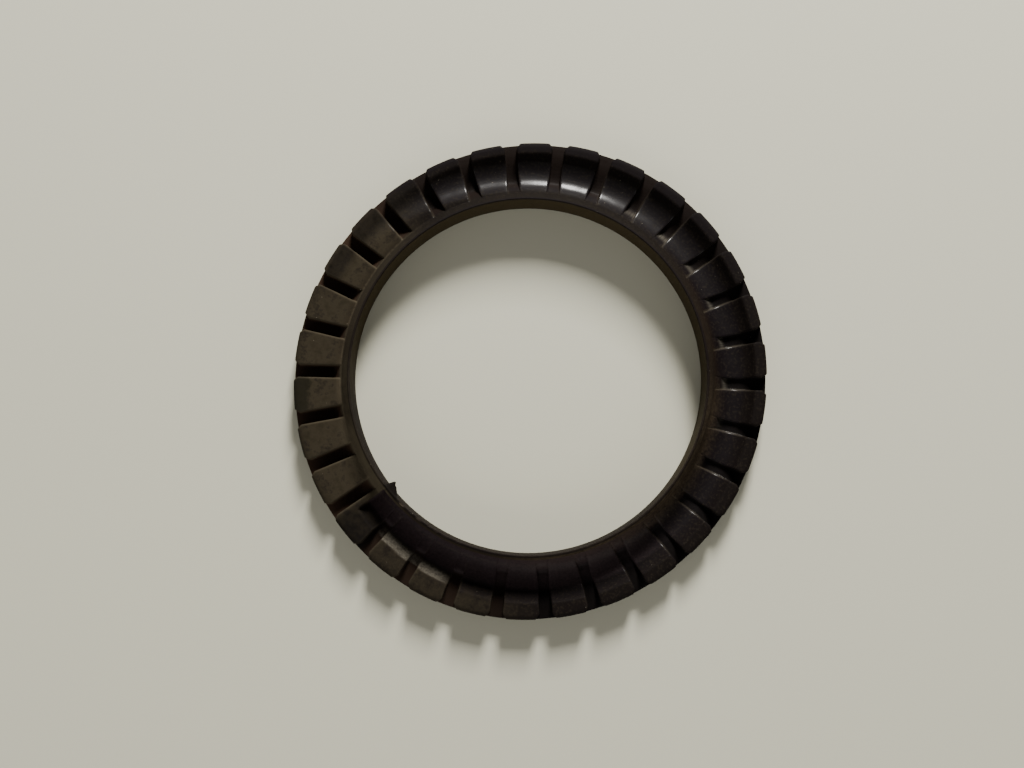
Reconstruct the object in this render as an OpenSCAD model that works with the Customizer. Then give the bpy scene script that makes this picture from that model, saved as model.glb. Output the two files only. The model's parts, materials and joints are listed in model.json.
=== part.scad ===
// Coil spring rubber mount: a one-piece moulded ring that carries the end turn of a coil spring.
// The flat back lies on Z = 0, the ring's axis is Z, and the spring seat faces +Z.
// Angles run counter-clockwise from +X, seen from above. Sizes are in millimetres.

/* [Ring] */
// Outside diameter over the blocks
ring_d = 151; // [130:1:200]
// Diameter of the bore through the collar
bore_d = 112; // [90:1:118]
// Height of the block faces above the flat back
face_h = 8; // [7.5:0.5:14]
// Height of the collar above the block faces
collar_rise = 6; // [2:0.5:9]
// Width of the collar at its foot, where it meets the block faces
collar_foot_w = 3.7; // [2.5:0.1:5]
// Width of the narrow land on top of the collar
collar_land_w = 0.4; // [0.3:0.1:2]
// How much wider the bore is at the collar's mouth than below the block faces
mouth_flare = 0.3; // [0.1:0.1:0.6]
// Rounding of the blocks' outer top edge
face_round = 1.4; // [0.4:0.1:2.5]
// Rounding of the edges of the flat back
back_round = 0.7; // [0.3:0.1:1.5]

/* [Radial slots] */
// Number of slots, and of the blocks between them
slot_count = 30; // [24:1:36]
// Width of a slot at the block faces
slot_w = 4.1; // [3:0.1:5]
// Width of a slot at the foot of its V
slot_foot_w = 0.5; // [0.3:0.1:1]
// Depth of the V below the block faces
slot_depth = 5.7; // [4:0.1:6]
// How far a slot's floor follows below the spring seat
slot_under_seat = 0.9; // [0.5:0.1:1.2]
// Width of the open shelf between a slot's deep part and the rim
shelf_w = 6; // [3:0.5:8]
// Width of the shelf's floor
shelf_foot_w = 3.9; // [3:0.1:5]
// Depth of that shelf below the block faces
shelf_depth = 3.6; // [2:0.1:4.5]
// How far each block's outer corner is cut back beside a slot
corner_cut = 0.8; // [0.2:0.1:1.5]

/* [Spring seat] */
// Diameter of the spring wire that the seat is moulded to
wire_d = 14; // [12:0.5:16]
// Angle of the stop that the wire's end meets
stop_angle = 219.5; // [216:0.5:222]
// Radius of the seat's centre line, away from the stop
seat_r = 66.3; // [64:0.1:68]
// How far the wire's end turns inwards at the stop
end_turn_in = 5; // [0:0.5:6]
// Angle over which that inward turn dies away
end_turn_angle = 70; // [30:5:90]
// Depth of the seat at the stop
seat_depth_stop = 4.6; // [3:0.1:4.8]
// Depth of the seat where it starts to rise out of the ring
seat_depth_end = 3.1; // [2:0.1:4]
// Angle from the stop to where the seat starts to rise out
seat_run = 236; // [180:2:250]
// Angle over which the seat rises out of the block faces
fade_run = 54; // [36:2:80]
// How far the seat's centre line moves outwards as it rises out
fade_out_move = 2.2; // [0:0.1:3]

/* [Wear] */
// How far the torn nub stands into the bore
nub_out = 2.8; // [1:0.1:4]
// Width of the torn nub at its root
nub_w = 6; // [4:0.2:8]
// Angle of the torn nub
nub_angle = 222; // [219:0.5:224]
// Number of bites torn out of the lip beside the nub
bite_count = 4; // [1:1:6]
// Radius of the largest bite
bite_r = 1.5; // [0.6:0.1:2]
// Angle between one bite and the next
bite_step = 5.6; // [4:0.2:8]

/* [Hidden] */
$fn = 120;
ring_r = ring_d / 2;
bore_r = bore_d / 2;
wire_r = wire_d / 2;
foot_r = bore_r + collar_foot_w;      // where the collar's slope meets the faces
top_h = face_h + collar_rise;
mouth_r = bore_r + mouth_flare;
lip_r = mouth_r + collar_land_w;      // outer edge of the collar's land
keep_r = bore_r + collar_foot_w / 2;  // the seat never cuts the collar inside this radius
shelf_in_r = ring_r - shelf_w;
well_w = 4.5;                         // width of the deep part that ends against the shelf
well_in_r = shelf_in_r - well_w;
well_drop = 1.5;                      // how far the deep part lies below the shelf
well_depth = min(slot_depth, shelf_depth + well_drop);
corner_in_r = ring_r - 2 * corner_cut; // where the cut corners start
slot_step = 360 / slot_count;
past = 2;                             // cutters run this far past what they cut
overlap = 0.01;                       // and this far into the next cutter
seat_gap = 0.25;                      // half the angle left between two pieces of the seat
slot_clear = 0.15;                    // a slot ends this far outside the collar's foot
v_foot_z = face_h - slot_depth - slot_under_seat;
v_flare = (slot_w - slot_foot_w) / (face_h - v_foot_z);  // how much wider the V gets with height
shelf_flare = 0.12;                   // the same for the shelf
bite_start = 1;                       // angle from the nub to where the bites begin
bite_stagger = 1.3;                   // every other bite sits this angle nearer to the nub
bite_sink = 0.45;                     // share of its radius by which a bite stands into the bore
bite_shrink = 0.16;                   // share of the largest bite by which each next one is smaller
first_block = floor(stop_angle / slot_step);
last_block = floor((stop_angle + seat_run + fade_run) / slot_step) - 1;

// Eases from 0 to 1 as t goes from 0 to 1.
function ease(t) = let (u = max(0, min(1, t))) u * u * (3 - 2 * u);

// Share of the way through the stretch where the seat rises out, at angle a.
function fade_at(a) = ease((a - stop_angle - seat_run) / fade_run);

// Radius of the seat's centre line at angle a.
function seat_r_at(a) =
    seat_r - end_turn_in * exp(-max(0, a - stop_angle) / end_turn_angle)
    + fade_out_move * fade_at(a);

// Depth of the seat below the block faces at angle a.
function seat_depth_at(a) =
    let (share = max(0, a - stop_angle) / seat_run)
    (seat_depth_stop + (seat_depth_end - seat_depth_stop) * min(1, share)) * (1 - fade_at(a));

// Where the slot at angle a begins: at the collar's foot, or deeper where the seat cuts into the foot.
function slot_in_at(a) =
    let (rise = wire_r - seat_depth_at(a), seat_in_r = seat_r_at(a) - sqrt(wire_r * wire_r - rise * rise))
    max(keep_r, min(foot_r, seat_in_r) + slot_clear);

// Angle a moved by whole turns to lie from the stop onwards.
function from_stop(a) = a < stop_angle - slot_step / 2 ? a + 360 : a;

// What a rounding of radius r takes off a square corner that points to +X +Y.
module corner_off(r) {
    difference() {
        translate([-r, -r]) square(r + past);
        translate([-r, -r]) circle(r);
    }
}

// Half section of the ring: X is the radius, Y is the height.
module ring_section() {
    difference() {
        polygon([[bore_r, 0], [bore_r, face_h], [mouth_r, top_h], [lip_r, top_h],
                 [foot_r, face_h], [ring_r, face_h], [ring_r, 0]]);
        translate([ring_r, face_h]) corner_off(face_round);
        translate([ring_r, 0]) mirror([0, 1]) corner_off(back_round);
        translate([bore_r, 0]) mirror([1, 0]) mirror([0, 1]) corner_off(back_round);
    }
}

// Side view of the slot at angle a: X is the radius, Y is the height.
module slot_side(a) {
    seated = from_stop(a);
    depth = max(seat_depth_at(seated), seat_depth_end);
    intersection() {
        union() {
            translate([seat_r_at(seated), face_h + wire_r - depth]) circle(wire_r + slot_under_seat);
            translate([well_in_r, face_h - well_depth]) square([shelf_in_r - well_in_r, well_depth + past]);
        }
        translate([slot_in_at(seated), 0]) square([shelf_in_r - slot_in_at(seated), top_h]);
    }
}

// A radial cut from radius in_r outwards, low_w wide at low_z and wider by flare with height.
module radial_cut(in_r, low_w, low_z, high_z, flare) {
    high_w = low_w + flare * (high_z - low_z);
    translate([in_r, 0, 0]) rotate([90, 0, 90]) linear_extrude(ring_r + past - in_r)
        polygon([[-high_w / 2, high_z], [-low_w / 2, low_z], [low_w / 2, low_z], [high_w / 2, high_z]]);
}

// One radial slot: a V over the seat, and an open shelf out to the rim.
module slot(a) {
    rotate(a) {
        intersection() {
            radial_cut(keep_r, slot_foot_w, v_foot_z, top_h, v_flare);
            rotate([90, 0, 0]) linear_extrude(2 * slot_w, center = true) slot_side(a);
        }
        radial_cut(shelf_in_r - overlap, shelf_foot_w, face_h - shelf_depth, face_h + past, shelf_flare);
        translate([0, 0, face_h - shelf_depth]) linear_extrude(shelf_depth + past)
            polygon([[corner_in_r, 0], [corner_in_r, -shelf_foot_w / 2],
                     [ring_r + past, -shelf_foot_w / 2 - corner_cut - past],
                     [ring_r + past, shelf_foot_w / 2 + corner_cut + past],
                     [corner_in_r, shelf_foot_w / 2]]);
    }
}

// The wire's bed from angle a to angle b: a piece of a ring that follows the seat's turn and rise.
module seat_piece(a, b) {
    mid = (a + b) / 2;
    turn = (b - a) * PI / 180;
    mid_r = (seat_r_at(a) + seat_r_at(b)) / 2;
    mid_z = face_h + wire_r - (seat_depth_at(a) + seat_depth_at(b)) / 2;
    swing = (seat_r_at(b) - seat_r_at(a)) / turn;
    climb = atan((seat_depth_at(a) - seat_depth_at(b)) / turn / mid_r);
    rotate(mid) translate([0, swing, mid_z]) rotate([climb, 0, 0]) rotate((a - b) / 2)
        rotate_extrude(angle = b - a)
            intersection() {
                translate([mid_r, 0]) circle(wire_r);
                translate([keep_r, -wire_r]) square([ring_r, 2 * wire_r]);
            }
}

// The whole helical seat: one piece for each block, parted inside the slots between them.
module spring_seat() {
    for (i = [first_block : last_block])
        seat_piece(max(stop_angle, i * slot_step + seat_gap), (i + 1) * slot_step - seat_gap);
}

// The nub beside the stop, torn off short to a point and a lower shoulder.
// Its outline is in shares of its reach and of its width.
module torn_nub() {
    rotate(nub_angle) translate([lip_r, 0, face_h + collar_rise / 4])
        linear_extrude(collar_rise / 2)
            scale([lip_r - bore_r + nub_out, nub_w])
                polygon([[0, -0.5], [-0.55, -0.4], [-1, -0.28], [-0.8, -0.16], [-0.6, 0.1], [0, 0.5]]);
}

// Bites torn out of the lip between the stop and the next two slots.
module lip_bites() {
    for (i = [1 : bite_count])
        rotate(nub_angle + bite_start + bite_step * i - bite_stagger * (i % 2))
            translate([mouth_r - bite_r * bite_sink, 0, top_h])
                sphere(bite_r * (1 - bite_shrink * (i - 1)));
}

// The ring with its seat, before the slots part the seat into blocks.
module seated_ring() {
    difference() {
        union() {
            rotate_extrude() ring_section();
            torn_nub();
        }
        spring_seat();
        lip_bites();
    }
}

module spring_mount() {
    color("#3a342e")
        difference() {
            seated_ring();
            for (i = [0 : slot_count - 1]) slot(i * slot_step);
        }
}

spring_mount();
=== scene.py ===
"""Looks of the coil spring rubber mount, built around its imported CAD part.

The mount is one moulded piece of rubber. Its detailed skin is a closed grid of rows, which run round
the ring, and columns, which follow the parallel edges of each radial slot. Lengths in this file are in
millimetres and angles in degrees, counter-clockwise from +X, until they are handed to Blender.
"""

import json
import logging
import math
from dataclasses import dataclass, field
from enum import Enum
from typing import NamedTuple

import bpy
import numpy as np
from mathutils import Matrix, Vector

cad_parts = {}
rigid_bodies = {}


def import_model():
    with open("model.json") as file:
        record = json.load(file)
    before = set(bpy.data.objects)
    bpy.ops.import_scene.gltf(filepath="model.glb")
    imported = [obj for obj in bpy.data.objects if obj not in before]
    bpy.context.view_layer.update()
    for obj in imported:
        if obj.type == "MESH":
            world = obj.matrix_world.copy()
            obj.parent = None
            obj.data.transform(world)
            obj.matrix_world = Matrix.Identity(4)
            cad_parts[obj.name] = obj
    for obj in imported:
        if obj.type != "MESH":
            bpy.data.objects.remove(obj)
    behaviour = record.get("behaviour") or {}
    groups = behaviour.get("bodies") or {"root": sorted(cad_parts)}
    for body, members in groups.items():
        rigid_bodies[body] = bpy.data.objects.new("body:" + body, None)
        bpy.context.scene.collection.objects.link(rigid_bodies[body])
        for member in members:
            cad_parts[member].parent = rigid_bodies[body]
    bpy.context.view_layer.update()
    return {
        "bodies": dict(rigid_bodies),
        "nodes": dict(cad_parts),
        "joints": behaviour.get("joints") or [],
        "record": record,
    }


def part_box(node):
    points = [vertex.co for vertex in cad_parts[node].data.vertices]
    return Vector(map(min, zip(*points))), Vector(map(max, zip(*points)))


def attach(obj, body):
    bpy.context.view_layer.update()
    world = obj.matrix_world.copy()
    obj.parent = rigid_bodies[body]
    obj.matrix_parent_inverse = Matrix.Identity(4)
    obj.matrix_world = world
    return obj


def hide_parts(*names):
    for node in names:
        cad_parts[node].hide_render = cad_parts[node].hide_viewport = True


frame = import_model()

Array = np.ndarray
NODE = "spring_mount"
BODY = "root"
METRE = 1000.0
TURN = 360.0
EVEN = 0.5  # middle value of the noise
MASKS = ("seat", "slot", "edge", "lit_edge", "bank", "bore")

log = logging.getLogger("spring_mount")


def ease(share: Array) -> Array:
    """Eases from 0 to 1."""
    share = np.clip(share, 0.0, 1.0)
    return share * share * (3.0 - 2.0 * share)


def soft_min(one: Array, other: Array, width: float) -> Array:
    """Lower of two heights, rounded over where they cross."""
    near = np.clip(width - np.abs(one - other), 0.0, None) / width
    return np.minimum(one, other) - near * near * width / 4.0


def soft_max(one: Array, other: Array, width: float) -> Array:
    """Higher of two heights, rounded over where they cross."""
    return -soft_min(-one, -other, width)


def off_angle(angle: Array, middle: float) -> Array:
    """Angle from a middle, the shorter way round."""
    return np.mod(angle - middle + TURN / 2.0, TURN) - TURN / 2.0


@dataclass(frozen=True)
class Ripple:
    """Smooth seeded unevenness, a sum of plane waves."""

    size: float  # Length of the shortest wave
    height: float  # Largest height of the sum, about
    seed: int  # Seed of the waves' directions
    waves: int = 9  # Number of waves
    longest: float = 2.6  # Length of the longest wave, in lengths of the shortest

    def at(self, points: Array) -> Array:
        """Heights at points.

        Args:
            points: Points, one in each row.

        Returns:
            One height for each point.
        """
        chance = np.random.default_rng(self.seed)
        total = np.zeros(len(points))
        for _ in range(self.waves):
            way = chance.normal(size=3)
            way /= np.linalg.norm(way)
            pitch = 2.0 * math.pi / (self.size * chance.uniform(1.0, self.longest))
            total += np.sin(points @ way * pitch + chance.uniform(0.0, 2.0 * math.pi))
        return total * self.height / math.sqrt(self.waves)


@dataclass(frozen=True)
class Ring:
    """Sizes of the moulded ring."""

    ring_r: float  # Outside radius over the blocks
    top_h: float  # Height of the collar's land above the back
    bore_r: float  # Radius of the bore below the block faces
    collar_rise: float = 6.0  # Height of the collar above the block faces
    collar_foot_w: float = 3.7  # Width of the collar at its foot
    collar_land_w: float = 0.4  # Width of the land on top of the collar
    mouth_flare: float = 0.3  # How much wider the bore is at the collar's mouth
    face_round: float = 1.4  # Rounding of the blocks' outer top edge
    notch_round: float = 0.35  # Rounding of the outer edge of a slot's open floor
    back_round: float = 0.7  # Rounding of the edges of the flat back
    foot_soft: float = 0.5  # Difference in height over which the collar's foot is rounded

    @classmethod
    def of_frame(cls, loaded: dict) -> "Ring":
        """Takes the overall sizes from the frame.


        Returns:
            The ring's sizes.
        """
        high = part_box(NODE)[1]
        bore = next(m for m in loaded["record"]["mounts"] if m["name"] == "bore")
        return cls(ring_r=high.x * METRE, top_h=high.z * METRE, bore_r=float(bore["dims"]["r_mm"]))

    @property
    def face_h(self) -> float:
        """Height of the block faces."""
        return self.top_h - self.collar_rise

    @property
    def foot_r(self) -> float:
        """Radius of the collar's foot."""
        return self.bore_r + self.collar_foot_w

    @property
    def mouth_r(self) -> float:
        """Radius of the bore at the collar's mouth."""
        return self.bore_r + self.mouth_flare

    @property
    def lip_r(self) -> float:
        """Radius of the outer edge of the collar's land."""
        return self.mouth_r + self.collar_land_w

    @property
    def keep_r(self) -> float:
        """Radius inside which the seat never cuts the collar."""
        return self.bore_r + self.collar_foot_w / 2.0

    def wall_r(self, height: Array) -> Array:
        """Radius of the bore's wall."""
        return self.bore_r + self.mouth_flare * np.clip((height - self.face_h) / self.collar_rise, 0.0, 1.0)

    def height(self, radius: Array) -> Array:
        """Height of the collar's slope and of the block faces, before the seat and the slots.

        Args:
            radius: Radii from the land outwards.

        Returns:
            The heights.
        """
        slope = self.collar_rise / (self.foot_r - self.lip_r)
        collar = self.top_h - slope * np.clip(radius - self.lip_r, 0.0, None)
        return soft_max(collar, np.full_like(collar, self.face_h), self.foot_soft)


@dataclass(frozen=True)
class SpringSeat:
    """The helical bed of the spring's end turn."""

    face_h: float  # Height of the block faces
    wire_r: float = 7.0  # Radius of the spring's wire
    stop_angle: float = 219.5  # Angle of the stop that the wire's end meets
    centre_r: float = 66.3  # Radius of the seat's centre line, away from the stop
    end_turn_in: float = 5.0  # How far the wire's end turns inwards at the stop
    end_turn_angle: float = 70.0  # Angle over which that turn dies away
    depth_stop: float = 4.6  # Depth at the stop
    depth_end: float = 3.1  # Depth where the seat starts to rise out
    steady: float = 236.0  # Angle from the stop to where the seat starts to rise out
    fade: float = 54.0  # Angle over which it rises out
    move_out: float = 2.2  # How far the centre line moves outwards as it rises out

    @property
    def far_above(self) -> float:
        """Height that stands for no seat at all."""
        return self.face_h + 4.0 * self.wire_r

    def run(self, angle: Array) -> Array:
        """Angle from the stop onwards."""
        return np.mod(angle - self.stop_angle, TURN)

    def risen(self, run: Array) -> Array:
        """Share of the way through the stretch where the seat rises out."""
        return ease((run - self.steady) / self.fade)

    def centre(self, run: Array) -> Array:
        """Radius of the seat's centre line."""
        turned = self.end_turn_in * np.exp(-np.clip(run, 0.0, None) / self.end_turn_angle)
        return self.centre_r - turned + self.move_out * self.risen(run)

    def depth(self, run: Array) -> Array:
        """Depth of the seat below the block faces."""
        share = np.clip(run / self.steady, 0.0, 1.0)
        return (self.depth_stop + (self.depth_end - self.depth_stop) * share) * (1.0 - self.risen(run))

    def inner_r(self, run: Array) -> Array:
        """Radius where the seat meets the height of the block faces on the collar's side."""
        rise = self.wire_r - self.depth(run)
        return self.centre(run) - np.sqrt(np.clip(self.wire_r**2 - rise**2, 0.0, None))

    def surface(self, radius: Array, run: Array) -> Array:
        """Height of the seat: the lower half of a circle about the wire's centre.

        Args:
            radius: Radii of the points.
            run: Angles from the stop.

        Returns:
            Heights, which are far above the ring where there is no seat.
        """
        inside = self.wire_r**2 - (radius - self.centre(run)) ** 2
        bed = self.face_h + self.wire_r - self.depth(run) - np.sqrt(np.clip(inside, 0.0, None))
        return np.where((inside > 0.0) & (run < self.steady + self.fade), bed, self.far_above)


@dataclass(frozen=True)
class RadialSlots:
    """The slots between the blocks."""

    count: int = 30  # Number of slots
    face_w: float = 4.1  # Width at the block faces
    foot_w: float = 3.1  # Width at the foot of the sides
    foot_drop: float = 6.6  # Depth of that foot below the faces
    shelf_w: float = 6.0  # Width of the open shelf at the rim
    shelf_foot_w: float = 3.7  # Width of the shelf's floor
    shelf_depth: float = 3.6  # Depth of the shelf below the faces
    shelf_flare: float = 0.12  # How much wider the shelf gets with height
    well_w: float = 4.5  # Width of the deep part that ends against the shelf
    well_drop: float = 1.5  # How far the deep part lies below the shelf
    corner_cut: float = 0.8  # How far each block's outer corner is cut back
    corner_past: float = 2.0  # How far past the rim the corner's cut runs on
    clear: float = 0.15  # How far outside the collar's foot a slot begins
    ramp: float = 1.3  # How fast a slot's floor falls from its inner end
    ramp_soft: float = 0.9  # Rounding at the ramp's foot
    level_w: float = 8.0  # Distance over which the floor rises to the shelf
    closed_run: float = 36.0  # Angle from the stop within which a slot stops short of the seat's inner half
    closed_past: float = -1.6  # How far outside the seat's centre line such a slot starts

    @property
    def step(self) -> float:
        """Angle from one slot to the next."""
        return TURN / self.count

    @property
    def well_depth(self) -> float:
        """Depth of the deep part below the faces."""
        return self.shelf_depth + self.well_drop

    def half_width(self, up: Array, on_shelf: Array) -> Array:
        """Half width of a slot.

        Args:
            up: Heights above the block faces.
            on_shelf: Whether each point is on the open shelf.

        Returns:
            The half widths.
        """
        spread = (self.face_w - self.foot_w) / self.foot_drop
        open_w = self.shelf_foot_w + self.shelf_flare * (up + self.shelf_depth)
        return np.where(on_shelf, open_w, self.face_w + spread * up) / 2.0

    @property
    def corner_slope(self) -> float:
        """How fast the cut corners open towards the rim."""
        return (self.corner_cut + self.corner_past) / (2.0 * self.corner_cut + self.corner_past)

    def corner_start(self, ring_r: float) -> float:
        """Radius where the cut corners start."""
        return ring_r - 2.0 * self.corner_cut


@dataclass(frozen=True)
class Fray:
    """Small random losses along a stretch of the lip."""

    count: int  # Number of losses
    start: float  # Angle where the stretch starts
    end: float  # Angle where it ends
    depth: float  # Depth that each loss is a share of
    wide: float  # Half angle of the widest loss
    deep: float  # Largest share of the depth
    narrow: float = 0.4  # Half angle of the narrowest loss
    shallow: float = 0.3  # Smallest share of the depth
    shoulder: float = 1.4  # Half angles at which a loss has died away

    def loss(self, angle: Array, chance: np.random.Generator) -> Array:
        """Height lost.

        Args:
            angle: Angles round the lip.
            chance: Where the random draws come from.

        Returns:
            Losses below the collar's land.
        """
        lost = np.zeros_like(angle)
        for _ in range(self.count):
            middle = chance.uniform(self.start, self.end)
            half = chance.uniform(self.narrow, self.wide)
            deep = self.depth * chance.uniform(self.shallow, self.deep)
            lost = np.maximum(lost, deep * ease(self.shoulder - np.abs(off_angle(angle, middle)) / half))
        return lost


@dataclass(frozen=True)
class Wear:
    """The torn nub, the bitten lip and the crack of the mount."""

    nub_angle: float = 222.0  # Angle of the torn nub
    nub_out: float = 2.8  # How far the nub stands into the bore
    nub_w: float = 6.0  # Width of the nub at its root
    # The nub's outline, as shares of its width and of its reach
    nub_outline: tuple = ((-0.5, 0.0), (-0.4, 0.55), (-0.28, 1.0), (-0.16, 0.8), (0.1, 0.6), (0.5, 0.0))
    nub_ragged: float = 0.22  # Unevenness of the nub's torn edge
    nub_waves: tuple = (31.0, 2.3)  # How fast that edge wavers along the width and with height
    bite_count: int = 4  # Number of bites torn out of the lip
    bite_r: float = 1.5  # Radius of the largest bite
    bite_step: float = 5.6  # Angle between one bite and the next
    bite_start: float = 1.0  # Angle from the nub to where the bites begin
    bite_stagger: float = 1.3  # Every other bite sits this angle nearer to the nub
    bite_sink: float = 0.45  # Share of its radius by which a bite stands into the bore
    bite_shrink: float = 0.16  # Share of the largest bite by which each next one is smaller
    # The torn stretch after the nub, and the small losses all round
    frays: tuple = (Fray(14, 223.0, 249.0, 0.75, 1.5, 1.0), Fray(70, 0.0, TURN, 0.1, 1.6, 2.2))
    crack_angle: float = 219.9  # Angle of the crack across the collar
    crack_depth: float = 1.1  # Depth of the crack
    crack_w: float = 0.28  # Half width of the crack
    crack_wander: float = 0.35  # How far the crack strays to either side
    crack_waves: float = 2.1  # How fast it strays along its length
    seed: int = 5  # Seed of the random losses

    def bites(self, radius: Array, angle: Array, mouth_r: float) -> Array:
        """Height lost to the bites.

        Args:
            radius: Radii of the points.
            angle: Angles of the points.
            mouth_r: Radius of the bore at the collar's mouth.

        Returns:
            Losses below the collar's land.
        """
        centre_r = mouth_r - self.bite_r * self.bite_sink
        loss = np.zeros_like(angle)
        for i in range(1, self.bite_count + 1):
            size = self.bite_r * (1.0 - self.bite_shrink * (i - 1))
            middle = self.nub_angle + self.bite_start + self.bite_step * i - self.bite_stagger * (i % 2)
            swing = np.cos(np.radians(angle - middle))
            far = radius**2 + centre_r**2 - 2.0 * radius * centre_r * swing
            loss = np.maximum(loss, np.sqrt(np.clip(size**2 - far, 0.0, None)))
        return loss

    def lip_loss(self, radius: Array, angle: Array, mouth_r: float) -> Array:
        """Height of the lip lost in all.

        Args:
            radius: Radii of the points.
            angle: Angles of the points.
            mouth_r: Radius of the bore at the collar's mouth.

        Returns:
            Losses below the collar's land.
        """
        chance = np.random.default_rng(self.seed)
        frayed = [fray.loss(angle, chance) for fray in self.frays]
        return np.max([self.bites(radius, angle, mouth_r), *frayed], axis=0)

    def crack(self, radius: Array, angle: Array, ring: Ring) -> Array:
        """Depth of the crack across the collar.

        Args:
            radius: Radii of the points.
            angle: Angles of the points.
            ring: Sizes of the ring.

        Returns:
            Depths below the collar's slope.
        """
        stray = self.crack_wander * np.sin(radius * self.crack_waves)
        along = np.radians(off_angle(angle, self.crack_angle)) * radius - stray
        there = ease((ring.foot_r + 0.6 - radius) / 0.8) * ease((radius - ring.mouth_r + 0.2) / 0.4)
        return self.crack_depth * np.exp(-((along / self.crack_w) ** 2)) * there

    def nub(self, angle: Array, height: Array, ring: Ring) -> Array:
        """How far the torn nub stands into the bore.

        Args:
            angle: Angles of the points.
            height: Heights of the points.
            ring: Sizes of the ring.

        Returns:
            Reach inwards from the bore's wall.
        """
        side = np.radians(off_angle(angle, self.nub_angle)) * ring.bore_r / self.nub_w
        places, shares = zip(*self.nub_outline)
        reach = np.interp(side, places, shares) * (ring.lip_r - ring.bore_r + self.nub_out)
        wave = np.sin(side * self.nub_waves[0] + height * self.nub_waves[1])
        reach -= self.nub_ragged * (0.5 + 0.5 * wave) * (reach > 1.0)
        half = ring.collar_rise / 4.0
        up = ease((1.1 - np.abs(height - ring.face_h - 2.0 * half) / half) / 0.3)
        return np.clip(reach - (ring.lip_r - ring.wall_r(height)), 0.0, None) * up


@dataclass(frozen=True)
class OutOfRound:
    """How the blocks of the aged ring have spread."""

    spread: float = 0.56  # Spread all round
    lean: float = 0.7  # Extra spread to one side
    lean_angle: float = -20.0  # Angle of that side
    oval: float = 0.83  # Extra spread to two opposite sides
    oval_angle: float = 62.0  # Angle of one of them

    def at(self, radius: Array, angle: Array, ring: Ring) -> Array:
        """How far points have moved outwards.

        Args:
            radius: Radii of the points.
            angle: Angles of the points.
            ring: Sizes of the ring.

        Returns:
            The moves, which grow from none at the collar's foot.
        """
        moved = self.spread + self.lean * np.cos(np.radians(angle - self.lean_angle))
        moved = moved + self.oval * np.cos(2.0 * np.radians(angle - self.oval_angle))
        return moved * np.clip((radius - ring.foot_r) / (ring.ring_r - ring.foot_r), 0.0, 1.0)


class Band(Enum):
    """Stretches of the way round the section of the ring."""

    BORE = "bore"
    LIP = "lip"
    TOP = "top"
    RIM = "rim"
    WALL = "wall"
    BACK = "back"


class Row(NamedTuple):
    """One row of the grid."""

    band: Band  # Stretch that the row is on
    place: float  # Radius on the top and the back, height in the bore, share of the band elsewhere
    height: float = 0.0  # Height on the back


class Lane(NamedTuple):
    """One column of the grid."""

    slot: int  # Number of the nearest slot, counted from +X
    offset: float  # Distance from that slot's middle line, or 0 inside a block
    share: float  # Share of the way across a block's inside, or -1 beside a slot
    sector: int  # Number of the slot before the column


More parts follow.
